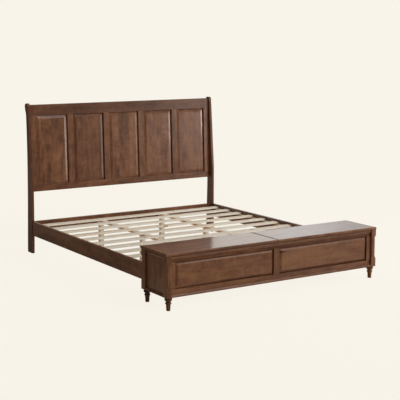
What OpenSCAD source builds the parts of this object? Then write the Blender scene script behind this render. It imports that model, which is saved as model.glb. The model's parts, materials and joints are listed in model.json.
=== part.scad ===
// Bed with a blanket chest in place of a footboard.
// X runs across the bed, -Y is the chest end, +Y the headboard, +Z up.
// The origin is on the floor, under the middle of the whole bed. Millimetres.

/* [Bed] */
// Clear length between the chest's corner posts and the headboard posts
inner_len = 2052; // [2030:1:2100]
// Distance from the front of the headboard posts to the back of their scroll
scroll_reach = 120; // [118:1:124]
// Height of the top of the side rails
rail_top = 300; // [296:1:310]
// Height of the side rails' bottom edge
rail_bot = 169; // [160:1:175]
// Thickness of the side rails
rail_t = 25; // [24:1:28]
// Width over the outside of the two side rails
rail_over = 2015; // [2013:1:2017]

/* [Blanket chest] */
// Width of the chest over its lids
chest_w = 2040; // [2038:1:2046]
// Depth of the chest from lid front to lid back
chest_d = 380; // [370:1:420]
// Height of the top of the lids
chest_h = 432; // [425:1:460]
// Thickness of the lids
lid_t = 20; // [18:1:22]
// Height of the turned feet, floor to chest
foot_h = 100; // [95:1:105]
// Width of the corner posts across the bed
post_w = 46; // [44:1:50]
// Depth of the corner posts along the bed
post_d = 56; // [52:1:60]
// Stopped chamfer on the corner posts
chamfer = 13; // [8:1:15]
// Stopped chamfer on the posts' inner edges, beside the frame
inner_chamfer = 8; // [6:1:12]
// Setback of the face frame from the lids' front edge
frame_set = 20; // [18:1:22]
// Thickness of the front frame
front_t = 26; // [25:1:30]
// Width of the centre stile of the chest front
mid_stile = 55; // [45:1:70]
// Width of the bevel around the chest's front panels
chest_bevel = 22; // [16:1:26]
// Gap between the two lids
lid_gap = 4.5; // [2:0.5:5]

/* [Headboard] */
// Width over the two headboard posts
head_over = 2026; // [2024:1:2030]
// Thickness of the headboard posts
head_post_t = 26; // [25:1:28]
// Height of the headboard's bottom rail above the floor
head_low = 572; // [560:1:580]
// Length of the panelled frame from bottom rail to crest
head_rise = 808; // [800:1:812]
// Backward lean of the panelled frame in degrees
head_lean = 2.42; // [2.3:0.02:2.5]
// Width of the headboard's stiles and bottom rail
stile_w = 60; // [50:1:70]
// Height of the headboard's top rail with its crest
crest_h = 102; // [90:1:110]
// Width of the bevel around the headboard's panels
head_bevel = 31; // [24:1:36]

/* [Slats and beams] */
// Number of slats
slat_n = 10; // [8:1:14]
// Width of one slat
slat_w = 66; // [50:1:75]
// Thickness of one slat
slat_t = 15; // [12:1:16]
// Drop from the rails' top edge to the slats' top
slat_drop = 18; // [15:1:22]
// Side of the centre beams' square legs
leg_side = 40; // [36:1:44]
// Thickness of the centre beams, boards laid flat
beam_h = 19; // [16:1:24]
// Width of the centre beams
beam_w = 57; // [48:1:64]
// Distance of each centre beam from the middle
beam_x = 337; // [300:1:360]

/* [Hinges] */
// Radius of the hinge barrels
barrel_r = 3.5; // [3.4:0.1:3.6]
// Radius of the hinge pins
pin_r = 1.5; // [1.4:0.1:1.6]
// Length of one hinge
hinge_len = 76; // [70:2:90]
// Distances of the two hinges of each lid from the middle of the chest
hinge_x = [230, 790]; // [180:10:840]

/* [Hidden] */

walnut = [0.40, 0.28, 0.22];
walnut_dark = [0.30, 0.20, 0.16];
pale = [0.82, 0.77, 0.70];
steel = [0.62, 0.62, 0.64];

// Distances s along the bed start at the lids' front edge.
hp = chest_d - 2 + inner_len;          // front of the headboard posts
bed_len = hp + scroll_reach;
function Y(s) = s - bed_len / 2;
cw = chest_w / 2;                      // half width over the lids
co = cw - 2;                           // outer face of the corner posts
ci = co - post_w;                      // inner face of the corner posts
rp = chest_d - 2 - post_d;             // front face of the rear corner posts
hb = head_over / 2;                    // outer face of the headboard posts
hi = hb - head_post_t;                 // inner face of the headboard posts
ro = rail_over / 2;
ri = ro - rail_t;

box_top = chest_h - lid_t - 2;         // rim of the chest's case
panel_lo = foot_h + 55;                // opening of the chest front
panel_hi = chest_h - 74;
end_out = co - 18;                     // outer face of the end panels
end_t = 16;
base_h = 19;
end_stile = 40;

slat_top = rail_top - slat_drop;
beam_top = slat_top - slat_t;
slat_first = chest_d + 104;
slat_pitch = (hp - 140 - slat_first) / (slat_n - 1);

hinge_s = chest_d + 4.5;               // hinge axis
hinge_z = box_top + 1;
knuckle = hinge_len / 5;

// ---------- small helpers ----------
module bar(x0, x1, s0, s1, z0, z1)
  translate([x0, Y(s0), z0]) cube([x1 - x0, s1 - s0, z1 - z0]);

// an outline drawn in (Y, height), swept across the bed
module across(x0, x1) translate([x0, 0, 0]) rotate([90, 0, 90]) linear_extrude(x1 - x0) children();
// an outline drawn in (X, height), swept along the bed
module along(s0, s1) translate([0, Y(s1), 0]) rotate([90, 0, 0]) linear_extrude(s1 - s0) children();

module twin() { children(); mirror([1, 0, 0]) children(); }

// points of a smooth curve through a list of points
function cr(p, i, t) =
  let (a = p[max(i - 1, 0)], b = p[i], c = p[i + 1], d = p[min(i + 2, len(p) - 1)])
  0.5 * (2 * b + (c - a) * t + (2 * a - 5 * b + 4 * c - d) * t * t + (3 * b - a - 3 * c + d) * t * t * t);
function smooth(p, k) = [for (i = [0:len(p) - 2], j = [0:k - 1]) cr(p, i, j / k), p[len(p) - 1]];

// ---------- headboard ----------
scroll_r = 32;
scroll_z = 1361;
post_front = smooth([[0, 600], [1, 690], [7, 780], [17, 900], [28, 1040], [38, 1160], [47, 1270], [53, 1325], [56, scroll_z]], 3);
post_back = smooth([[scroll_reach, scroll_z], [117.5, 1344], [110, 1324], [101, 1305], [96, 1276], [92, 1220], [88, 1140], [85, 1040], [83, 920], [83, 780], [85, 620], [87, 500], [91, 390], [96, 270], [101, 150], [104, 50], [104, 0]], 3);

post_scroll = [for (a = [175:-5:5]) [scroll_reach - scroll_r + scroll_r * cos(a), scroll_z + scroll_r * sin(a)]];

module head_post_outline() translate([Y(hp), 0])
  polygon(concat([[5, 0], [0, 140]], post_front, post_scroll, post_back));

// the panelled frame leans back about the front lower edge of its bottom rail
module leaning() translate([0, Y(hp + 39), head_low]) rotate([-head_lean, 0, 0]) children();

module head_post()
  difference() {
    across(hi, hb) head_post_outline();
    // mortises of the top, bottom and cross rails
    leaning() {
      translate([hi - 1, 4, head_rise - crest_h + 14]) cube([11, 14, crest_h - 34]);
      translate([hi - 1, 4, 8]) cube([11, 14, stile_w - 16]);
    }
    bar(hi - 1, hi + 10, hp + 13, hp + 24, rail_top - 85, rail_top - 10);
    // seat of the slotted plate, and room for the hooks behind it
    bar(ri + 6, ri + 22, hp - 5, hp + 3, 185, 285);
    bar(ri + 10, ri + 18, hp - 5, hp + 12, 191, 279);
  }

open_w = (2 * hi - 6 * stile_w) / 5;   // opening between two stiles
open_h = head_rise - stile_w - crest_h;

module headboard_top_rail()
  color(walnut) leaning() difference() {
    z0 = head_rise - crest_h;
    union() {
      translate([-hi, 0, z0]) cube([2 * hi, 24, crest_h - 7]);
      // crest with its two long edges rounded
      translate([-hi, 7, z0]) cube([2 * hi, 10, crest_h]);
      for (y = [7, 17]) translate([-hi, y, head_rise - 7]) rotate([0, 90, 0]) cylinder(r = 7, h = 2 * hi, $fn = 64);
      translate([-hi - 9.5, 4.2, z0 + 14.3]) cube([2 * hi + 19, 13.6, crest_h - 34.6]);
    }
    // groove that takes the tongues of stiles and panels
    translate([-hi + 0.01, 14.9, z0 - 1]) cube([2 * hi - 0.02, 5.2, 7.5]);
    // fine line below the crest
    translate([-hi - 1, -1, head_rise - 41.5]) cube([2 * hi + 2, 2, 1.5]);
  }

module headboard_bottom_rail()
  color(walnut) leaning() difference() {
    union() {
      translate([-hi, 0, 0]) cube([2 * hi, 24, stile_w]);
      translate([-hi - 9.5, 4.2, 8.3]) cube([2 * hi + 19, 13.6, stile_w - 16.6]);
    }
    translate([-hi + 0.01, 14.9, stile_w - 6.5]) cube([2 * hi - 0.02, 5.2, 7.5]);
  }

module head_stile(n) {
  x0 = -hi + (n - 1) * (open_w + stile_w);
  color(walnut) leaning() difference() {
    union() {
      translate([x0, 0, stile_w]) cube([stile_w, 24, open_h]);
      translate([x0 + 0.2, 15.1, stile_w - 6]) cube([stile_w - 0.4, 4.8, open_h + 12]);
    }
    if (n > 1) translate([x0 - 1, 14.9, stile_w - 7]) cube([7.5, 5.2, open_h + 14]);
    if (n < 6) translate([x0 + stile_w - 6.5, 14.9, stile_w - 7]) cube([7.5, 5.2, open_h + 14]);
  }
}

// A raised panel standing in the X-Z plane, its front towards -Y. w and h are the
// opening's; field is the depth of the flat middle, edge the depth of the bevel's
// foot, back the depth of the flat back. The tongue stands 6 into the grooves.
// The bevel ends in a shoulder, a small step up to the field.
module raised_panel(w, h, bevel, field, edge, back, shoulder) {
  module cutter(l) linear_extrude(l)
    polygon([[-10, edge], [0, edge], [bevel, field + shoulder], [bevel, -20], [-10, -20]]);
  module upright() translate([0, 0, -20]) cutter(h + 40);
  module level() translate([w + 20, 0, 0]) rotate([0, -90, 0]) cutter(w + 40);
  difference() {
    union() {
      translate([-6, edge + 0.1, -6]) cube([w + 12, 4.8, h + 12]);
      translate([0, field, 0]) cube([w, back - field, h]);
    }
    upright();
    translate([w, 0, 0]) mirror([1, 0, 0]) upright();
    level();
    translate([0, 0, h]) mirror([0, 0, 1]) level();
  }
}
module head_panel(n)
  color(walnut) leaning()
    translate([-hi + n * stile_w + (n - 1) * open_w, 0, stile_w])
      raised_panel(open_w, open_h, head_bevel, 8, 15, 22, 1.5);

module head_cross_rail() color(walnut_dark) {
  bar(-hi, hi, hp + 4, hp + 29, rail_top - 95, rail_top);
  twin() bar(hi - 1, hi + 9.5, hp + 13.2, hp + 23.8, rail_top - 84.5, rail_top - 10.5);
}

// ---------- side rails and slats ----------
module side_rail()
  color(walnut) difference() {
    bar(ri, ro, chest_d - 2, hp, rail_bot, rail_top);
    // seats of the hook plates in the end grain
    bar(ri + 6, ri + 22, hp - 3, hp + 1, 185, 285);
    bar(ri + 6, ri + 22, chest_d - 3, chest_d + 1, 185, 285);
  }
module slat_ledge() color(pale) bar(ri - 20, ri, chest_d + 12, hp - 20, beam_top - 14, beam_top);

module slats() color(pale)
  for (i = [0:slat_n - 1])
    bar(-ri + 2, ri - 2, slat_first + i * slat_pitch, slat_first + i * slat_pitch + slat_w, beam_top, slat_top);

module centre_beam() color(pale) bar(beam_x - beam_w / 2, beam_x + beam_w / 2, chest_d, hp + 2, beam_top - beam_h, beam_top);
module beam_legs() color(pale)
  for (i = [0:2])
    bar(beam_x - leg_side / 2, beam_x + leg_side / 2, hp - 85 - i * 797 - leg_side / 2, hp - 85 - i * 797 + leg_side / 2, 0, beam_top - beam_h);

// U-shaped steel hangers on the chest's back and on the cross rail
module hanger() {
  z = beam_top - beam_h;
  w = beam_w / 2;
  difference() {
    union() {
      translate([-w - 3, 0, z - 2]) cube([beam_w + 6, 28, beam_h]);
      translate([-w - 16, 0, z - 2]) cube([beam_w + 32, 2, beam_h]);
    }
    translate([-w - 0.1, -1, z]) cube([beam_w + 0.2, 30, beam_h + 1]);
  }
  for (x = [-w - 9.5, w + 9.5]) translate([x, 1, z + beam_h / 2 - 2]) rotate([-90, 0, 0]) cylinder(r = 4, h = 2.4, $fn = 32);
}
module beam_brackets() color(steel) twin() {
  translate([beam_x, Y(chest_d - 4), 0]) hanger();
  translate([beam_x, Y(hp + 4), 0]) mirror([0, 1, 0]) hanger();
}

// plates with hooks in the rail ends, slotted plates in the posts
module hook_plate() {
  translate([6, -3, 185]) cube([16, 3, 100]);
  for (z = [203, 253]) {
    translate([12.4, -0.5, z + 4]) cube([3.2, 10.5, 14]);
    translate([12.4, 6, z - 5]) cube([3.2, 4, 12]);
  }
}
module slot_plate() difference() {
  translate([6, 0, 185]) cube([16, 3, 100]);
  for (z = [203, 253]) translate([12, -1, z - 8]) cube([4, 5, 28]);
}
module rail_hook_plates() color(steel) twin() {
  translate([ri, Y(hp), 0]) hook_plate();
  translate([ri, Y(chest_d - 2), 0]) mirror([0, 1, 0]) hook_plate();
}
module post_slot_plates() color(steel) twin() {
  translate([ri, Y(hp), 0]) slot_plate();
  translate([ri, Y(chest_d - 2), 0]) mirror([0, 1, 0]) slot_plate();
}

// ---------- chest ----------
// cuts a stopped chamfer c wide on an upright arris at the origin, the wood towards +X and +Y
module stopped_chamfer(c)
  rotate([0, 0, -45]) rotate([90, 0, 90]) translate([0, 0, -30]) linear_extrude(60)
    polygon([[-40, foot_h + 69], [0, foot_h + 69], [c / sqrt(2), foot_h + 82],
             [c / sqrt(2), chest_h - 83], [0, chest_h - 70], [-40, chest_h - 70]]);

// A corner post: outer corner at the origin, body towards +X and +Y.
module corner_post(front)
  difference() {
    translate([0, 0, foot_h]) cube([post_w, post_d, chest_h - lid_t - 0.3 - foot_h]);
    stopped_chamfer(chamfer);
    translate([post_w, 0, 0]) mirror([1, 0, 0]) stopped_chamfer(inner_chamfer);
    if (front) {
      // mortises of the face frame's rails
      translate([post_w - 8.5, frame_set + 2, panel_hi + 8]) cube([10, 12, box_top - panel_hi - 16]);
      translate([post_w - 8.5, frame_set + 2, foot_h + 30]) cube([10, 12, panel_lo - foot_h - 38]);
    }
    // groove of the end panel
    translate([21.9, post_d - 6.5, foot_h - 1]) cube([8.2, 8, box_top - foot_h + 3]);
    // bore of the foot's tenon
    translate([34, 34, foot_h - 1]) cylinder(r = 9.2, h = 28, $fn = 48);
  }
module post_front_right() color(walnut) translate([co, Y(2), 0]) mirror([1, 0, 0]) corner_post(true);
module post_rear_right() color(walnut) difference() {
  translate([co, Y(chest_d - 2), 0]) mirror([1, 0, 0]) mirror([0, 1, 0]) corner_post(false);
  // seat of the slotted plate, and room for the hooks behind it
  bar(ri + 6, ri + 22, chest_d - 5, chest_d + 1, 185, 285);
  bar(ri + 10, ri + 18, chest_d - 20, chest_d + 1, 191, 279);
}

// turned foot, its axis on Z: taper, bead, neck and collar, with a tenon on top
bead = [for (a = [-75:15:75]) [17.4 + 6.4 * cos(a), 57 + 6.6 * sin(a)]];
collar = smooth([[18.6, 68.5], [19.2, 71], [22, 74], [26.5, 77], [28.3, 82], [28.4, 90], [27.2, 95], [25.4, 97.6], [25, foot_h]], 3);
module foot_shape() rotate_extrude($fn = 64)
  polygon(concat([[0, 0], [13.8, 0], [15.2, 1.8]], smooth([[15.4, 4], [16.4, 25], [17.6, 42], [18.6, 50]], 2), bead,
                 [[18.5, 65.5]], collar, [[9, foot_h], [9, foot_h + 25], [0, foot_h + 25]]));
module foot_right(s) color(walnut_dark) translate([co - 34, Y(s), 0]) foot_shape();

// tenon is the distance of the tenon's lower edge from the rail's
module front_rail(z0, z1, tenon, up) color(walnut) difference() {
  union() {
    bar(-ci, ci, frame_set, frame_set + front_t, z0, z1);
    bar(-ci - 8, ci + 8, frame_set + 4.2, frame_set + 15.8, z0 + tenon, z1 - 8.3);
  }
  bar(-ci + 0.01, ci - 0.01, frame_set + 15.9, frame_set + 21.1, up ? z1 - 6.5 : z0 - 1, up ? z1 + 1 : z0 + 6.5);
}
module chest_front_top_rail() front_rail(panel_hi, box_top, 8.3, false);
module chest_front_bottom_rail() front_rail(foot_h, panel_lo, 30.3, true);

module front_stile(x0, x1, left_groove, right_groove) difference() {
  union() {
    bar(x0, x1, frame_set, frame_set + front_t, panel_lo, panel_hi);
    bar(x0 + 0.2, x1 - 0.2, frame_set + 16.1, frame_set + 20.9, panel_lo - 6, panel_hi + 6);
  }
  if (left_groove) bar(x0 - 1, x0 + 6.5, frame_set + 15.9, frame_set + 21.1, panel_lo - 7, panel_hi + 7);
  if (right_groove) bar(x1 - 6.5, x1 + 1, frame_set + 15.9, frame_set + 21.1, panel_lo - 7, panel_hi + 7);
}
module chest_stile_centre() color(walnut) front_stile(-mid_stile / 2, mid_stile / 2, true, true);
module chest_stile_right() color(walnut) front_stile(ci - end_stile, ci, true, false);
front_w = ci - end_stile - mid_stile / 2;
module front_panel_right() color(walnut)
  translate([mid_stile / 2, Y(frame_set), panel_lo])
    raised_panel(front_w, panel_hi - panel_lo, chest_bevel, 3, 16, 24, 1.5);

module end_panel_right() color(walnut) {
  bar(end_out - end_t, end_out, post_d + 2, rp, foot_h, box_top);
  bar(end_out - 12, end_out - 4, post_d - 4, rp + 6, foot_h + 0.2, box_top - 0.2);
}

module chest_back_panel() color(walnut) bar(-ci, ci, chest_d - 20, chest_d - 4, foot_h, box_top - 19);

module chest_hinge_rail() color(walnut) difference() {
  bar(-ci, ci, rp, chest_d - 2, box_top - 19, box_top);
  for (m = [-1, 1], x = hinge_x) {
    bar(m * x - hinge_len / 2 - 0.2, m * x + hinge_len / 2 + 0.2, chest_d - 30.2, chest_d, box_top - 0.8, box_top + 1);
    for (d = [-26, 0, 26]) translate([m * x + d, Y(chest_d - 16), box_top - 13]) cylinder(r = 1.52, h = 14, $fn = 24);
  }
}

module chest_bottom_board() color(pale) {
  bar(-ci, ci, frame_set + front_t, chest_d - 20, foot_h + 21, foot_h + 31);
  twin() bar(ci - 1, end_out - end_t, post_d + 2, rp, foot_h + 21, foot_h + 31);
}
module chest_divider() color(pale) bar(-9, 9, frame_set + front_t, chest_d - 20, foot_h + 31, box_top - 19);

// Mouldings just under the lids, between the corner posts: a quirk, a nose and a cove.
// Drawn with the nose towards -X; m = -1 turns it over to +X.
nose = concat([[0, 0], [-6, 0], [-6, -6]], [for (a = [90:-15:-90]) [-7 - 6 * cos(a), -12 + 6 * sin(a)]],
              [for (a = [90:-15:0]) [-7 + 5.5 * cos(a), -25 + 5.5 * sin(a)]], [[-1.5, -29], [0, -29]]);
module nosing(m) polygon([for (p = nose) [p[0] * m, p[1]]]);
module cornice_strips() color(walnut) {
  across(-ci, ci) translate([Y(frame_set), box_top]) nosing(1);
  twin() along(post_d + 2, rp) translate([end_out, box_top]) nosing(-1);
}
module base_mouldings() color(walnut) {
  across(-ci, ci) translate([Y(frame_set), foot_h])
    polygon([[0, 0], [-15, 0], [-16, 1], [-16, 9], [-14.5, 11.2], [-12, 12.4], [-10.5, 14], [-9.5, 17], [-7, base_h], [0, base_h]]);
  twin() along(post_d + 2, rp) translate([end_out, foot_h])
    polygon([[0, 0], [15, 0], [16, 1], [16, 9], [14.5, 11.2], [12, 12.4], [10.5, 14], [9.5, 17], [7, base_h], [0, base_h]]);
}

// lids: slabs with a rounded front edge and rounded ends
module lid_front_outline() translate([Y(0), chest_h - lid_t]) {
  translate([7, 0]) square([chest_d - 7, lid_t]);
  translate([0, 3]) square([8, lid_t - 10]);
  translate([3, 0]) square([5, 4]);
  translate([7, lid_t - 7]) circle(r = 7, $fn = 64);
  translate([3, 3]) circle(r = 3, $fn = 48);
}
module lid_end_outline() translate([lid_gap / 2, chest_h - lid_t]) {
  l = cw - lid_gap / 2;
  translate([7, 0]) square([l - 14, lid_t]);
  translate([0, 3]) square([8, lid_t - 10]);
  translate([3, 0]) square([5, 4]);
  translate([7, lid_t - 7]) circle(r = 7, $fn = 64);
  translate([3, 3]) circle(r = 3, $fn = 48);
  translate([l - 8, 3]) square([8, lid_t - 10]);
  translate([l - 8, 0]) square([5, 4]);
  translate([l - 7, lid_t - 7]) circle(r = 7, $fn = 64);
  translate([l - 3, 3]) circle(r = 3, $fn = 48);
}
module lid_right() color(walnut) difference() {
  intersection() {
    across(0, cw) lid_front_outline();
    along(-1, chest_d + 1) lid_end_outline();
  }
  for (x = hinge_x) {
    bar(x - hinge_len / 2 - 0.2, x + hinge_len / 2 + 0.2, chest_d - 30.2, chest_d + 1, chest_h - lid_t - 1, chest_h - lid_t + 0.8);
    for (d = [-26, 0, 26]) translate([x + d, Y(chest_d - 16), chest_h - lid_t - 1]) cylinder(r = 1.52, h = 14, $fn = 24);
  }
}

// ---------- hinges ----------
// One leaf with its knuckles, centred on X = 0, its plate lying between z and z + 1.6.
module leaf(z, list, up, clear) difference() {
  union() {
    translate([-hinge_len / 2, Y(chest_d - 30), z]) cube([hinge_len, 30.7, 1.6]);
    for (k = list) {
      translate([-hinge_len / 2 + k * knuckle + 0.15, Y(hinge_s), hinge_z]) rotate([0, 90, 0]) cylinder(r = barrel_r, h = knuckle - 0.3, $fn = 48);
      translate([-hinge_len / 2 + k * knuckle + 0.15, Y(chest_d), z]) cube([knuckle - 0.3, 4.5, 1.6]);
    }
  }
  translate([-hinge_len / 2 - 1, Y(hinge_s), hinge_z]) rotate([0, 90, 0]) cylinder(r = pin_r + clear, h = hinge_len + 2, $fn = 48);
  for (d = [-26, 0, 26]) translate([d, Y(chest_d - 16), z])
    if (up) translate([0, 0, -0.01]) cylinder(r1 = 1.7, r2 = 3.4, h = 1.62, $fn = 32);
    else translate([0, 0, -0.01]) cylinder(r1 = 3.4, r2 = 1.7, h = 1.62, $fn = 32);
}
module screw(up) {
  // countersunk head at z = 0, shank pointing down (or up)
  m = up ? 1 : 0;
  mirror([0, 0, m]) {
    translate([0, 0, -1.6]) cylinder(r1 = 1.5, r2 = 3.2, h = 1.6, $fn = 32);
    translate([0, 0, -12]) cylinder(r = 1.5, h = 10.5, $fn = 32);
  }
}
module hinge_leaves_chest() color(steel)
  for (m = [-1, 1], x = hinge_x) translate([m * x, 0, 0]) leaf(box_top - 0.8, [0, 2, 4], true, 0.02);
module leaves_lid(m) color(steel)
  for (x = hinge_x) translate([m * x, 0, 0]) leaf(box_top + 1.2, [1, 3], false, 0.06);
module hinge_pins() color(steel)
  for (m = [-1, 1], x = hinge_x) translate([m * x - hinge_len / 2, Y(hinge_s), hinge_z]) rotate([0, 90, 0]) {
    cylinder(r = pin_r, h = hinge_len, $fn = 32);
    for (e = [-1.2, hinge_len]) translate([0, 0, e]) cylinder(r = 2.6, h = 1.2, $fn = 32);
  }
module hinge_screws_chest() color(steel)
  for (m = [-1, 1], x = hinge_x, d = [-26, 0, 26]) translate([m * x + d, Y(chest_d - 16), box_top + 0.8]) screw(false);
module screws_lid(m) color(steel)
  for (x = hinge_x, d = [-26, 0, 26]) translate([m * x + d, Y(chest_d - 16), box_top + 1.2]) screw(true);

color(walnut) mirror([1, 0, 0]) head_post();  // headboard_post_left
color(walnut) head_post();  // headboard_post_right
headboard_top_rail();
headboard_bottom_rail();
head_stile(1);  // headboard_stile_1
head_stile(2);  // headboard_stile_2
head_stile(3);  // headboard_stile_3
head_stile(4);  // headboard_stile_4
head_stile(5);  // headboard_stile_5
head_stile(6);  // headboard_stile_6
head_panel(1);  // headboard_panel_1
head_panel(2);  // headboard_panel_2
head_panel(3);  // headboard_panel_3
head_panel(4);  // headboard_panel_4
head_panel(5);  // headboard_panel_5
head_cross_rail();
mirror([1, 0, 0]) side_rail();  // side_rail_left
side_rail();  // side_rail_right
mirror([1, 0, 0]) slat_ledge();  // slat_ledge_left
slat_ledge();  // slat_ledge_right
slats();
mirror([1, 0, 0]) centre_beam();  // centre_beam_left
centre_beam();  // centre_beam_right
mirror([1, 0, 0]) beam_legs();  // beam_legs_left
beam_legs();  // beam_legs_right
beam_brackets();
rail_hook_plates();
post_slot_plates();
mirror([1, 0, 0]) post_front_right();  // chest_post_front_left
post_front_right();  // chest_post_front_right
mirror([1, 0, 0]) post_rear_right();  // chest_post_rear_left
post_rear_right();  // chest_post_rear_right
mirror([1, 0, 0]) foot_right(36);  // chest_foot_front_left
foot_right(36);  // chest_foot_front_right
mirror([1, 0, 0]) foot_right(chest_d - 36);  // chest_foot_rear_left
foot_right(chest_d - 36);  // chest_foot_rear_right
chest_front_top_rail();
chest_front_bottom_rail();
mirror([1, 0, 0]) chest_stile_right();  // chest_stile_left
chest_stile_centre();
chest_stile_right();
mirror([1, 0, 0]) front_panel_right();  // chest_front_panel_left
front_panel_right();  // chest_front_panel_right
mirror([1, 0, 0]) end_panel_right();  // chest_end_panel_left
end_panel_right();  // chest_end_panel_right
chest_back_panel();
chest_hinge_rail();
chest_bottom_board();
chest_divider();
cornice_strips();
base_mouldings();
mirror([1, 0, 0]) lid_right();  // chest_lid_left
lid_right();  // chest_lid_right
hinge_leaves_chest();
leaves_lid(-1);  // hinge_leaves_lid_left
leaves_lid(1);  // hinge_leaves_lid_right
hinge_pins();
hinge_screws_chest();
screws_lid(-1);  // hinge_screws_lid_left
screws_lid(1);  // hinge_screws_lid_right
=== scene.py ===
import json
import math
import random

import bmesh
import bpy
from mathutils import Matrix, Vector


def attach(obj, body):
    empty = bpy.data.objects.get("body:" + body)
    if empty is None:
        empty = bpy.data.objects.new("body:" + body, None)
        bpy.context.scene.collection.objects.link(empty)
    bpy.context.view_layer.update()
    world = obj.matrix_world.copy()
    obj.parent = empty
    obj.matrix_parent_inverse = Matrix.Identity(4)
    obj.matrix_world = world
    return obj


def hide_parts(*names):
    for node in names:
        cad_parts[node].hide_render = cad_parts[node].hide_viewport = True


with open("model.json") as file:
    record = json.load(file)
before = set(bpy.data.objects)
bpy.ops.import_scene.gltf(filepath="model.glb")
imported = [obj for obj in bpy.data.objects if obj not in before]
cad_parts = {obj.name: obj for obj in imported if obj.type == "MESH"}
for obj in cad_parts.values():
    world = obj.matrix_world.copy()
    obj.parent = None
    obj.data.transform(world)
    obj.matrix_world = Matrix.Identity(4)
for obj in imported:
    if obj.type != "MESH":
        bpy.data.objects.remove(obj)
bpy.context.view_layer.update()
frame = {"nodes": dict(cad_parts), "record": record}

scene = bpy.context.scene
rng = random.Random(31)

# ---------- camera ----------
yaw, pitch = math.radians(32.235), math.radians(6.434)
look = Vector((math.sin(yaw) * math.cos(pitch), math.cos(yaw) * math.cos(pitch), -math.sin(pitch)))
cam_data = bpy.data.cameras.new("camera")
cam = bpy.data.objects.new("camera", cam_data)
scene.collection.objects.link(cam)
cam.location = (-4.829, -7.609, 2.016)
cam.rotation_euler = look.to_track_quat("-Z", "Y").to_euler()
cam_data.sensor_width = 36.0
cam_data.lens = 1033.7 / 400 * 36
cam_data.shift_x = 0.03
cam_data.shift_y = -0.12
cam_data.clip_end = 200
scene.camera = cam

scene.view_settings.view_transform = "Standard"
scene.view_settings.look = "None"
scene.view_settings.exposure = 0.0
scene.view_settings.gamma = 1.0

CREAM = (0.939, 0.905, 0.823)


# ---------- small node helpers ----------
class Nodes:
    """Builds shader nodes with short calls; a value is a number, a vector or an output socket."""

    def __init__(self, tree):
        self.t = tree
        self.n = 0

    def put(self, kind, **props):
        node = self.t.nodes.new(kind)
        node.location = (self.n % 12 * 180, -(self.n // 12) * 220)
        self.n += 1
        for k, v in props.items():
            setattr(node, k, v)
        return node

    def set(self, socket, value):
        if isinstance(value, bpy.types.NodeSocket):
            self.t.links.new(value, socket)
        elif value is not None:
            socket.default_value = value

    def math(self, op, a, b=None, c=None, clamp=False):
        node = self.put("ShaderNodeMath", operation=op, use_clamp=clamp)
        for i, v in enumerate((a, b, c)):
            self.set(node.inputs[i], v)
        return node.outputs[0]

    def vec(self, op, a, b=None, scale=None):
        node = self.put("ShaderNodeVectorMath", operation=op)
        self.set(node.inputs[0], a)
        if b is not None:
            self.set(node.inputs[1], b)
        if scale is not None:
            self.set(node.inputs["Scale"], scale)
        return node.outputs["Value"] if op in ("LENGTH", "DOT_PRODUCT", "DISTANCE") else node.outputs[0]

    def xyz(self, x, y, z):
        node = self.put("ShaderNodeCombineXYZ")
        for i, v in enumerate((x, y, z)):
            self.set(node.inputs[i], v)
        return node.outputs[0]

    def split(self, v):
        node = self.put("ShaderNodeSeparateXYZ")
        self.set(node.inputs[0], v)
        return node.outputs

    def noise(self, v, scale=1.0, detail=2.0, rough=0.5, distort=0.0):
        node = self.put("ShaderNodeTexNoise", noise_dimensions="3D")
        self.set(node.inputs["Vector"], v)
        self.set(node.inputs["Scale"], scale)
        self.set(node.inputs["Detail"], detail)
        self.set(node.inputs["Roughness"], rough)
        self.set(node.inputs["Distortion"], distort)
        return node.outputs[0]

    def white(self, w):
        node = self.put("ShaderNodeTexWhiteNoise", noise_dimensions="1D")
        self.set(node.inputs["W"], w)
        return node.outputs["Value"], node.outputs["Color"]

    def voronoi(self, v, feature="F1"):
        node = self.put("ShaderNodeTexVoronoi", voronoi_dimensions="2D", feature=feature)
        self.set(node.inputs["Vector"], v)
        self.set(node.inputs["Scale"], 1.0)
        return node.outputs

    def span(self, v, a, b, c=0.0, d=1.0, smooth=False):
        node = self.put("ShaderNodeMapRange", interpolation_type="SMOOTHSTEP" if smooth else "LINEAR", clamp=True)
        for i, x in enumerate((v, a, b, c, d)):
            self.set(node.inputs[i], x)
        return node.outputs[0]

    def ramp(self, v, stops):
        node = self.put("ShaderNodeValToRGB")
        r = node.color_ramp
        while len(r.elements) < len(stops):
            r.elements.new(0.5)
        for e, (p, c) in zip(r.elements, stops):
            e.position, e.color = p, (*c, 1)
        self.set(node.inputs[0], v)
        return node.outputs[0]

    def mix(self, f, a, b, mode="MIX"):
        node = self.put("ShaderNodeMix", data_type="RGBA", blend_type=mode)
        self.set(node.inputs[0], f)
        for s, v in ((node.inputs[6], a), (node.inputs[7], b)):
            self.set(s, (*v, 1) if isinstance(v, tuple) and len(v) == 3 else v)
        return node.outputs[2]

    def attr(self, name, out):
        return self.put("ShaderNodeAttribute", attribute_name=name, attribute_type="GEOMETRY").outputs[out]

    def bump(self, height, distance, strength=1.0, normal=None):
        node = self.put("ShaderNodeBump")
        self.set(node.inputs["Height"], height)
        node.inputs["Distance"].default_value = distance
        node.inputs["Strength"].default_value = strength
        if normal is not None:
            self.set(node.inputs["Normal"], normal)
        return node.outputs[0]


def material(name):
    m = bpy.data.materials.new(name)
    m.use_nodes = True
    m.node_tree.nodes.clear()
    n = Nodes(m.node_tree)
    bsdf = n.put("ShaderNodeBsdfPrincipled")
    out = n.put("ShaderNodeOutputMaterial")
    m.node_tree.links.new(bsdf.outputs[0], out.inputs[0])
    return m, n, bsdf


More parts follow.
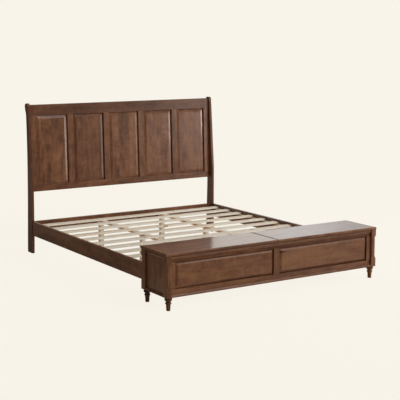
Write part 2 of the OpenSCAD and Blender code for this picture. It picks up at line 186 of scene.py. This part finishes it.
def grain_field(n, ring, wobble):
    """Shared wood figure: returns rings 0..1, fibre, pores, blotch, knot darkness, stave tone."""
    g = n.attr("grain", "Vector")
    seed = n.attr("seed", "Fac")
    u, v, w = n.split(g)
    stave = n.attr("stave", "Fac")
    idx = n.math("ADD", n.math("FLOOR", n.math("DIVIDE", n.math("ADD", v, 7.0), stave)), n.math("MULTIPLY", seed, 17.0))
    r1, rc = n.white(idx)
    ra, rb, rcc = n.split(rc)
    u2 = n.math("ADD", u, n.math("MULTIPLY", r1, 9.0))
    p = n.xyz(u2, n.math("ADD", v, n.math("MULTIPLY", ra, 3.0)), n.math("ADD", w, rb))
    # knots: sparse, longer along the grain
    cell = n.voronoi(n.xyz(n.math("MULTIPLY", u2, 1.9), n.math("MULTIPLY", n.math("ADD", v, ra), 4.1), 0.0))
    kx = n.split(cell["Color"])[0]
    on = n.math("GREATER_THAN", kx, n.math("SUBTRACT", 1.0, n.attr("knotty", "Fac")))
    kd = cell["Distance"]
    knot_in = n.math("MULTIPLY", on, n.span(kd, 0.030, 0.052, 1.0, 0.0, smooth=True))
    knot_far = n.math("MULTIPLY", on, n.span(kd, 0.04, 0.22, 1.0, 0.0, smooth=True))
    # growth rings about a pith that wanders
    bend = n.noise(n.vec("MULTIPLY", p, (0.42, 2.6, 2.6)), 1.0, 1.0, 0.35)
    bend = n.math("ADD", bend, n.math("MULTIPLY", n.noise(n.vec("MULTIPLY", p, (2.2, 14.0, 14.0)), 1.0, 2.0, 0.5), 0.10))
    cv = n.math("ADD", v, n.math("MULTIPLY", n.math("SUBTRACT", ra, 0.5), 0.12))
    cw = n.math("ADD", n.math("MULTIPLY", rb, 0.09), 0.05)
    dist = n.vec("LENGTH", n.xyz(0.0, n.math("MULTIPLY", n.math("SUBTRACT", n.math("FRACT", n.math("MULTIPLY", n.math("ADD", cv, 7.0), 1.0)), 0.5), 0.32), n.math("ADD", w, cw)))
    r = n.math("ADD", dist, n.math("MULTIPLY", bend, wobble))
    r = n.math("ADD", r, n.math("MULTIPLY", knot_far, 0.014))
    ringf = n.math("FRACT", n.math("DIVIDE", n.math("ADD", r, 1.0), ring))
    rise = n.span(ringf, 0.15, 0.86, 0.0, 1.0, smooth=True)
    fall = n.span(ringf, 0.90, 1.0, 1.0, 0.0)
    rings = n.math("MULTIPLY", rise, fall)
    fibre = n.noise(n.vec("MULTIPLY", p, (9.0, 420.0, 420.0)), 1.0, 3.0, 0.6)
    streak = n.noise(n.vec("MULTIPLY", p, (1.5, 38.0, 38.0)), 1.0, 3.0, 0.6)
    pore = n.span(n.noise(n.vec("MULTIPLY", p, (45.0, 1500.0, 1500.0)), 1.0, 1.0, 0.5), 0.60, 0.72)
    blotch = n.noise(n.vec("MULTIPLY", p, (1.7, 6.0, 6.0)), 1.0, 4.0, 0.6)
    mottle = n.noise(n.vec("MULTIPLY", p, (7.0, 18.0, 18.0)), 1.0, 3.0, 0.6, 0.6)
    curl = n.noise(n.vec("MULTIPLY", p, (32.0, 9.0, 9.0)), 1.0, 2.0, 0.5, 0.8)
    return dict(u=u, v=v, w=w, p=p, rings=rings, fibre=fibre, streak=streak, pore=pore, blotch=blotch, mottle=mottle, curl=curl, knot=knot_in, halo=knot_far, tone=r1)


def walnut_material(name, coat, gloss):
    m, n, b = material(name)
    f = grain_field(n, 0.0075, 0.050)
    tone = n.attr("tone", "Fac")
    k = n.math("MULTIPLY", f["rings"], -0.08)
    for part, share in (("fibre", 0.14), ("streak", 0.40), ("blotch", 0.68), ("mottle", 0.70), ("curl", 0.38), ("tone", 0.12), ("halo", -0.08)):
        k = n.math("ADD", k, n.math("MULTIPLY", f[part], share))
    k = n.math("ADD", n.math("SUBTRACT", k, 0.745), tone)
    base = n.ramp(k, [(0.0, (0.046, 0.016, 0.008)), (0.28, (0.112, 0.041, 0.018)), (0.52, (0.200, 0.081, 0.039)), (0.78, (0.286, 0.134, 0.066)), (1.0, (0.400, 0.198, 0.104))])
    gold = n.span(n.noise(n.vec("MULTIPLY", f["p"], (3.1, 9.0, 9.0)), 1.0, 3.0, 0.6), 0.48, 0.68, 0.0, 0.55, smooth=True)
    gold = n.math("MULTIPLY", gold, n.math("MULTIPLY", n.span(tone, -0.08, 0.02, 0.25, 1.0), n.span(tone, -0.40, -0.24)))
    base = n.mix(gold, base, (0.290, 0.135, 0.050))
    base = n.mix(n.math("MULTIPLY", f["pore"], 0.35), base, (0.030, 0.011, 0.006))
    base = n.mix(n.math("MULTIPLY", f["knot"], 0.70), base, (0.028, 0.010, 0.005))
    # edges a little lighter: partly real rubbed wear, partly a painted highlight along the eased edges
    rub_and_sheen = n.math("MULTIPLY", n.attr("wear_and_highlight", "Fac"), n.span(n.noise(n.vec("MULTIPLY", f["p"], (9.0, 30.0, 30.0)), 1.0, 3.0, 0.6), 0.35, 0.70))
    base = n.mix(n.math("MULTIPLY", rub_and_sheen, 0.50), base, (0.38, 0.20, 0.115))
    n.set(b.inputs["Base Color"], base)
    rough = n.math("ADD", 0.30, n.math("MULTIPLY", f["fibre"], 0.10))
    rough = n.math("ADD", rough, n.math("MULTIPLY", f["blotch"], 0.08))
    rough = n.math("SUBTRACT", rough, n.math("MULTIPLY", rub_and_sheen, 0.06))
    n.set(b.inputs["Roughness"], rough)
    b.inputs["Specular IOR Level"].default_value = gloss
    b.inputs["Coat Weight"].default_value = coat
    b.inputs["Coat Roughness"].default_value = 0.12
    h = n.math("ADD", n.math("MULTIPLY", f["rings"], 0.35), n.math("MULTIPLY", f["fibre"], 0.5))
    h = n.math("SUBTRACT", h, n.math("MULTIPLY", f["pore"], 0.7))
    h = n.math("SUBTRACT", h, n.math("MULTIPLY", f["knot"], 0.4))
    n.set(b.inputs["Normal"], n.bump(h, 0.00022, 0.8))
    return m


def pale_material():
    m, n, b = material("pale_softwood")
    f = grain_field(n, 0.0062, 0.05)
    tone = n.attr("tone", "Fac")
    k = n.math("MULTIPLY", f["rings"], -0.20)
    k = n.math("ADD", k, n.math("MULTIPLY", f["fibre"], 0.16))
    k = n.math("ADD", k, n.math("MULTIPLY", f["streak"], 0.28))
    k = n.math("ADD", k, n.math("MULTIPLY", f["blotch"], 0.30))
    k = n.math("ADD", k, n.math("MULTIPLY", f["tone"], 0.14))
    k = n.math("ADD", k, tone)
    k = n.math("ADD", k, 0.17)
    base = n.ramp(k, [(0.0, (0.70, 0.45, 0.25)), (0.35, (0.76, 0.55, 0.35)), (0.65, (0.775, 0.728, 0.64)), (1.0, (0.83, 0.815, 0.775))])
    base = n.mix(n.math("MULTIPLY", f["knot"], 0.8), base, (0.20, 0.10, 0.05))
    base = n.mix(n.math("MULTIPLY", f["halo"], 0.14), base, (0.42, 0.27, 0.15))
    # edges a little lighter: partly real wear, partly a painted highlight along the eased edges
    rub_and_sheen = n.math("MULTIPLY", n.attr("wear_and_highlight", "Fac"), n.span(n.noise(n.vec("MULTIPLY", f["p"], (12.0, 40.0, 40.0)), 1.0, 3.0, 0.6), 0.35, 0.70))
    base = n.mix(n.math("MULTIPLY", rub_and_sheen, 0.30), base, (0.50, 0.36, 0.23))
    n.set(b.inputs["Base Color"], base)
    n.set(b.inputs["Roughness"], n.math("ADD", 0.50, n.math("MULTIPLY", f["fibre"], 0.18)))
    b.inputs["Specular IOR Level"].default_value = 0.4
    h = n.math("ADD", n.math("MULTIPLY", f["rings"], -0.4), n.math("MULTIPLY", f["fibre"], 0.7))
    n.set(b.inputs["Normal"], n.bump(h, 0.00030, 0.8))
    return m


def steel_material():
    m, n, b = material("zinc_steel")
    tc = n.put("ShaderNodeTexCoord").outputs["Object"]
    fine = n.noise(n.vec("MULTIPLY", tc, (90.0, 1400.0, 1400.0)), 1.0, 2.0, 0.5)
    cloud = n.noise(n.vec("MULTIPLY", tc, (60.0, 60.0, 60.0)), 1.0, 3.0, 0.6)
    col = n.ramp(n.math("ADD", n.math("MULTIPLY", cloud, 0.7), n.math("MULTIPLY", fine, 0.3)), [(0.2, (0.36, 0.36, 0.37)), (0.8, (0.62, 0.62, 0.63))])
    n.set(b.inputs["Base Color"], col)
    b.inputs["Metallic"].default_value = 1.0
    n.set(b.inputs["Roughness"], n.math("ADD", 0.26, n.math("MULTIPLY", fine, 0.22)))
    n.set(b.inputs["Normal"], n.bump(fine, 0.00004, 0.6))
    return m


WALNUT, PALE, STEEL = walnut_material("walnut_stained", 0.80, 0.5), pale_material(), steel_material()
DULL = walnut_material("walnut_dull", 0.12, 0.30)

# ---------- pieces ----------
body_of_node = {node: body for body, nodes in frame["record"]["behaviour"]["bodies"].items() for node in nodes}


def room(face, edge):
    """How far a face reaches from one of its edges."""
    a, b = (v.co for v in edge.verts)
    d = (b - a).normalized()
    return max(((v.co - a) - d * (v.co - a).dot(d)).length for v in face.verts)


def dress(node, axes, mat, width=0.0015, tone=0.0, stave=40.0, segments=3, knotty=0.03, crease=0.33, rub_and_sheen=1.0, painted_side_shade=0.0):
    """Rebuilds one wooden node with eased edges, smooth normals and its own grain."""
    src = frame["nodes"][node]
    bm = bmesh.new()
    bm.from_mesh(src.data)
    bm.transform(src.matrix_world)
    bmesh.ops.remove_doubles(bm, verts=bm.verts, dist=3e-6)
    bmesh.ops.dissolve_limit(bm, angle_limit=0.004, verts=bm.verts, edges=bm.edges)
    bm.normal_update()
    picked = []
    for e in bm.edges:
        if len(e.link_faces) != 2 or not e.is_convex or e.calc_face_angle(0) < 0.45:
            continue
        if e.calc_length() < 2.2 * width or min(room(f, e) for f in e.link_faces) < 2.6 * width:
            continue
        picked.append(e)
    made = bmesh.ops.bevel(bm, geom=picked, offset=width, offset_type="OFFSET", segments=segments, profile=0.5, affect="EDGES", clamp_overlap=False)
    new = set(made["faces"])
    # mask for the bevelled edges that the wood shaders lighten: real wear plus a painted highlight
    worn_and_lit = [rub_and_sheen if all(f in new for f in v.link_faces) else 0.0 for v in bm.verts]
    for f in bm.faces:
        f.smooth = True
    for e in bm.edges:
        eased = any(f in new for f in e.link_faces)
        e.smooth = len(e.link_faces) == 2 and e.calc_face_angle(0) < (0.70 if eased else crease)
    me = bpy.data.meshes.new(node + "_wood")
    bm.to_mesh(me)
    bm.free()
    me.materials.append(mat)
    off = Vector((rng.uniform(-4, 4), rng.uniform(-0.4, 0.4), rng.uniform(0.0, 0.5)))
    order = ["XYZ".index(c) for c in axes]
    grain = me.attributes.new("grain", "FLOAT_VECTOR", "POINT")
    grain.data.foreach_set("vector", [x for v in me.vertices for x in (v.co[order[0]] + off[0], v.co[order[1]] + off[1], v.co[order[2]] + off[2])])
    tone += rng.uniform(-0.05, 0.05)
    values = {"wear_and_highlight": worn_and_lit, "stave": [stave] * len(worn_and_lit), "seed": [float(rng.randrange(1, 90))] * len(worn_and_lit), "knotty": [0.25 if mat == PALE else knotty] * len(worn_and_lit)}
    for name, data in values.items():
        me.attributes.new(name, "FLOAT", "POINT").data.foreach_set("value", data)
    # painted shade: faces that point along X get an extra tone; on the centre beams it darkens and warms their sides,
    # standing in for the shade under the slats
    me.attributes.new("tone", "FLOAT", "FACE").data.foreach_set("value", [tone + (painted_side_shade if abs(f.normal.x) > 0.5 else 0.0) for f in me.polygons])
    ob = bpy.data.objects.new(node + "_wood", me)
    scene.collection.objects.link(ob)
    wn = ob.modifiers.new("weighted", "WEIGHTED_NORMAL")
    wn.keep_sharp = True
    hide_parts(node)
    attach(ob, body_of_node[node])
    return ob


for side in ("left", "right"):
    # painted shade: the headboard posts get a darker tone, standing in for the shade beside the panels
    dress("headboard_post_" + side, "ZYX", WALNUT, 0.0025, -0.14)
    dress("side_rail_" + side, "YZX", WALNUT, 0.0020, -0.02)
    dress("slat_ledge_" + side, "YZX", PALE, 0.0015, -0.04)
    # painted shade: the centre beams' sides are toned darker and more orange
    dress("centre_beam_" + side, "YXZ", PALE, 0.0020, 0.08, painted_side_shade=-0.60)
    dress("beam_legs_" + side, "ZXY", PALE, 0.0020, 0.0)
    # painted light: the right-hand front post is toned lighter, as more light falls on the chest's right end
    dress("chest_post_front_" + side, "ZXY", WALNUT, 0.0020, 0.0 if side == "left" else 0.05)
    dress("chest_post_rear_" + side, "ZXY", WALNUT, 0.0020)
    # painted shade and light: the left front foot is toned darker than the right one, which is lighter where light
    # falls on it; both get less of the edge lightening
    dress("chest_foot_front_" + side, "ZXY", DULL, 0.0012, -0.20 if side == "left" else 0.0, rub_and_sheen=0.4)
    # painted shade: the rear feet are toned much darker for the shade under the chest, with almost no edge lightening
    dress("chest_foot_rear_" + side, "ZXY", DULL, 0.0012, -0.45, rub_and_sheen=0.1)
    # painted light: the right-hand stile is toned lighter, as more light falls on the chest's right end
    dress("chest_stile_" + side, "ZXY", WALNUT, 0.0014, 0.0 if side == "left" else 0.05)
    dress("chest_front_panel_" + side, "XZY", WALNUT, 0.0012, 0.055 if side == "left" else 0.045, 0.098, knotty=0.12)
    dress("chest_end_panel_" + side, "ZYX", WALNUT, 0.0012, 0.0, 0.115)
    dress("chest_lid_" + side, "XYZ", WALNUT, 0.0014, 0.05, 0.0955)

dress("headboard_top_rail", "XZY", WALNUT, 0.0012, -0.205)
dress("headboard_bottom_rail", "XZY", WALNUT, 0.0014, -0.085)
for i in range(1, 7):
    dress(f"headboard_stile_{i}", "ZXY", WALNUT, 0.0014, (-0.15, -0.10, -0.08, -0.06, -0.03, -0.05)[i - 1])
for i in range(1, 6):
    dress(f"headboard_panel_{i}", "ZXY", WALNUT, 0.0010, (-0.065, -0.03, -0.065, -0.035, 0.01)[i - 1], 0.109, crease=0.20)
dress("head_cross_rail", "XZY", WALNUT, 0.0020, -0.08)
dress("slats", "XYZ", PALE, 0.0025, 0.16, 0.2009)
# painted shade: the chest's top rail is toned darker for the shade under the lid and cornice
dress("chest_front_top_rail", "XZY", DULL, 0.0012, -0.13)
dress("chest_front_bottom_rail", "XZY", WALNUT, 0.0012, 0.03)
dress("chest_stile_centre", "ZXY", WALNUT, 0.0014, 0.05)
dress("chest_back_panel", "XZY", WALNUT, 0.0015, 0.0, 0.097)
dress("chest_hinge_rail", "XYZ", WALNUT, 0.0012)
dress("chest_bottom_board", "XYZ", PALE, 0.0012, 0.0, 0.11)
dress("chest_divider", "YZX", PALE, 0.0012, 0.0, 0.10)
dress("cornice_strips", "XYZ", WALNUT, 0.0010, 0.08)
dress("base_mouldings", "XYZ", WALNUT, 0.0010, -0.13)

for node, ob in frame["nodes"].items():
    if node.startswith("hinge_") or node in ("beam_brackets", "rail_hook_plates", "post_slot_plates"):
        for s in ob.material_slots:
            s.material = STEEL

# ---------- floor ----------
fm, fn, fb = material("floor_pale")
co = fn.put("ShaderNodeTexCoord").outputs["Object"]
far = fn.span(fn.vec("LENGTH", co), 4.5, 9.0, 0.0, 1.0, smooth=True)
fb.inputs["Base Color"].default_value = (0.05, 0.048, 0.044, 1)
fb.inputs["Emission Color"].default_value = (*CREAM, 1)
fb.inputs["Emission Strength"].default_value = 0.955
fb.inputs["Roughness"].default_value = 0.9
fb.inputs["Specular IOR Level"].default_value = 0.1
glow = fn.put("ShaderNodeEmission")
glow.inputs[0].default_value = (*CREAM, 1)
blend = fn.put("ShaderNodeMixShader")
fn.set(blend.inputs[0], far)
fn.set(blend.inputs[1], fb.outputs[0])
fn.set(blend.inputs[2], glow.outputs[0])
fn.set([x for x in fm.node_tree.nodes if x.type == "OUTPUT_MATERIAL"][0].inputs[0], blend.outputs[0])
bm = bmesh.new()
rim = [bm.verts.new((90 * math.cos(a * math.tau / 64), 90 * math.sin(a * math.tau / 64), -0.0005)) for a in range(64)]
bm.faces.new(rim)
fme = bpy.data.meshes.new("floor")
bm.to_mesh(fme)
bm.free()
fme.materials.append(fm)
floor = bpy.data.objects.new("floor", fme)
scene.collection.objects.link(floor)
floor.visible_glossy = False
floor.visible_diffuse = False
floor.visible_shadow = False

# ---------- light ----------
world = bpy.data.worlds.new("studio")
scene.world = world
world.use_nodes = True
world.node_tree.nodes.clear()
wn = Nodes(world.node_tree)
d = wn.put("ShaderNodeTexCoord").outputs["Generated"]
dx, dy, dz = wn.split(d)
# a bright wall behind the bed's right half, a soft ceiling, and a dim room elsewhere
flat = wn.vec("NORMALIZE", wn.xyz(dx, dy, 0.0))
wall = wn.span(wn.vec("DOT_PRODUCT", flat, (0.595, 0.804, 0.0)), 0.9845, 0.9994, 0.0, 1.0, smooth=True)
turn = wn.vec("DOT_PRODUCT", flat, (0.766, 0.643, 0.0))
wall = wn.math("MULTIPLY", wall, wn.span(turn, 0.9822, 0.9885, 1.0, 0.62))
wall = wn.math("ADD", wn.math("MULTIPLY", wall, 0.82), wn.span(wn.vec("DOT_PRODUCT", flat, (0.62, 0.78, 0.0)), 0.55, 0.95, 0.0, 0.35, smooth=True))
wall = wn.math("MULTIPLY", wall, wn.span(dz, -0.02, 0.06, 0.0, 1.0, smooth=True))
wall = wn.math("MULTIPLY", wall, wn.span(dz, 0.40, 0.70, 1.0, 0.0, smooth=True))
top = wn.math("MULTIPLY", wn.span(dz, 0.50, 0.92, 0.0, 0.62, smooth=True), wn.span(dy, 0.0, 0.55, 1.0, 0.2))
near = wn.math("MULTIPLY", wn.span(dz, -0.09, -0.19, 0.0, 0.14, smooth=True), wn.span(dy, 0.0, -0.5, 0.25, 1.0))
low = wn.math("ADD", wn.span(dz, -0.15, -0.75, 0.0, 0.40, smooth=True), near)
glow = wn.span(wn.vec("DOT_PRODUCT", flat, (0.9945, -0.1045, 0.0)), 0.968, 0.991, 0.0, 0.85, smooth=True)
glow = wn.math("MULTIPLY", glow, wn.math("MULTIPLY", wn.span(dz, -0.05, -0.14), wn.span(dz, -0.42, -0.26)))
# seen in the headboard's fields, more to the right; and a high patch seen in edges that face up and forward
haze = wn.span(wn.vec("DOT_PRODUCT", flat, (0.656, -0.755, 0.0)), 0.930, 0.992, 0.0, 0.70, smooth=True)
haze = wn.math("ADD", haze, wn.span(wn.vec("DOT_PRODUCT", flat, (0.656, -0.755, 0.0)), 0.981, 0.990, 0.0, 0.80, smooth=True))
haze = wn.math("MULTIPLY", haze, wn.math("MULTIPLY", wn.span(dz, -0.09, -0.02), wn.span(dz, 0.09, 0.01)))
patch = wn.span(wn.vec("DOT_PRODUCT", flat, (0.688, -0.725, 0.0)), 0.990, 0.9996, 0.0, 1.3, smooth=True)
patch = wn.math("MULTIPLY", patch, wn.math("MULTIPLY", wn.span(dz, 0.40, 0.47), wn.span(dz, 0.66, 0.58)))
lum = wn.math("MAXIMUM", wn.math("MAXIMUM", wall, top), wn.math("MAXIMUM", wn.math("MAXIMUM", low, glow), 0.085))
lum = wn.math("MAXIMUM", lum, wn.math("MAXIMUM", haze, patch))
tint = wn.ramp(lum, [(0.085, (1.0, 0.70, 0.46)), (0.22, (1.0, 0.85, 0.70)), (0.40, (1.0, 0.80, 0.55)), (0.80, (1.0, 0.99, 0.96))])
soft = wn.vec("SCALE", tint, scale=lum)
# the wall is warmer on its left and cooler on its right
shade = wn.mix(wn.span(turn, 0.968, 0.9815), (1.0, 0.965, 0.925), (1.0, 1.035, 1.07))
shade = wn.mix(wn.span(dy, 0.2, 0.4), (1.0, 1.0, 1.0), shade)
soft = wn.vec("MULTIPLY", soft, shade)
# a cooler light from behind on the left, and one low on the right
rear = wn.span(wn.vec("DOT_PRODUCT", flat, (-0.6, 0.8, 0.0)), 0.950, 0.998, 0.0, 0.36, smooth=True)
rear = wn.math("MULTIPLY", rear, wn.math("MULTIPLY", wn.span(dz, -0.205, -0.132, 0.04, 1.0), wn.span(dz, -0.105, -0.125)))
side = wn.span(wn.vec("DOT_PRODUCT", flat, (0.682, -0.731, 0.0)), 0.985, 0.998, 0.0, 0.25, smooth=True)
side = wn.math("MULTIPLY", side, wn.math("MULTIPLY", wn.span(dz, -0.198, -0.214), wn.span(dz, -0.45, -0.30)))
soft = wn.vec("ADD", soft, wn.vec("SCALE", (1.0, 0.93, 0.89), scale=wn.math("ADD", rear, side)))
seen = wn.put("ShaderNodeLightPath").outputs["Is Camera Ray"]
colour = wn.mix(seen, soft, CREAM)
bg = wn.put("ShaderNodeBackground")
wn.set(bg.inputs[0], colour)
bg.inputs[1].default_value = 1.0
wout = wn.put("ShaderNodeOutputWorld")
wn.set(wout.inputs[0], bg.outputs[0])


def light(name, kind, at, to, power, size=(1, 1), colour=(1, 1, 1), gloss=True, diffuse=True):
    """A sun (size is its angle) or a rectangular softbox. gloss and diffuse say what it is seen in."""
    data = bpy.data.lights.new(name, kind)
    data.energy, data.color = power, colour
    if kind == "SUN":
        data.angle = math.radians(size[0])
    else:
        data.shape, data.size, data.size_y = "RECTANGLE", size[0], size[1]
    ob = bpy.data.objects.new(name, data)
    ob.location = at
    ob.rotation_euler = (Vector(to) - Vector(at)).to_track_quat("-Z", "Y").to_euler()
    ob.visible_camera, ob.visible_glossy, ob.visible_diffuse = False, gloss, diffuse
    scene.collection.objects.link(ob)


light("key", "SUN", (4.8, -8.4, 6.8), (0, 0, 0), 1.46, (26, 0), (1.0, 0.985, 0.955), gloss=False)
light("fill", "AREA", (3.6, -1.4, 1.7), (0.4, 1.25, 0.9), 55, (2.0, 1.7), gloss=False)
light("left", "AREA", (-4.6, -0.6, 1.3), (-1.0, 0.3, 0.3), 9, (2.0, 1.4), gloss=False)
light("right", "AREA", (2.4, -2.9, 0.6), (0.9, -1.27, 0.25), 9, (1.0, 0.8), gloss=False)
# strips that only show as reflections, one in the right-hand bevel of each headboard panel
for name, x, y, z, wide, high, power in (
    ("strip_1", 7.92, -7.16, 0.55, 0.62, 1.4, 13.4), ("strip_2", 8.60, -6.86, 0.40, 0.62, 1.7, 4.2), ("strip_3", 9.25, -6.57, 0.40, 0.62, 1.7, 0.8),
    ("strip_4", 9.88, -6.27, 0.92, 0.62, 0.85, 13), ("strip_5", 10.50, -5.97, 1.02, 0.62, 0.7, 22),
):
    light(name, "AREA", (x, y, z), (0.14, 1.25, 0.95), power, (wide, high), diffuse=False)
# boxes for the left panel's top bevel and for edges that face up, a card on the floor for the
# chest's end, and what the floor sends back up under the slats
light("front", "AREA", (4.73, -10.25, 5.34), (-0.8, 1.25, 1.27), 9.7, (0.8, 1.1), diffuse=False)
light("overhead", "AREA", (3.1, -3.9, 5.2), (0.0, -1.2, 0.4), 45, (3.0, 3.0), (1.0, 0.92, 0.82), diffuse=False)
light("bounce", "AREA", (0.0, 0.1, 0.004), (0.0, 0.1, 1.0), 1.5, (1.7, 1.8), (1.0, 0.90, 0.78), gloss=False)
light("card", "AREA", (-1.47, -0.62, 0.003), (-1.47, -0.62, 1.0), 0.18, (0.85, 0.75), (1.0, 0.84, 0.70), diffuse=False)
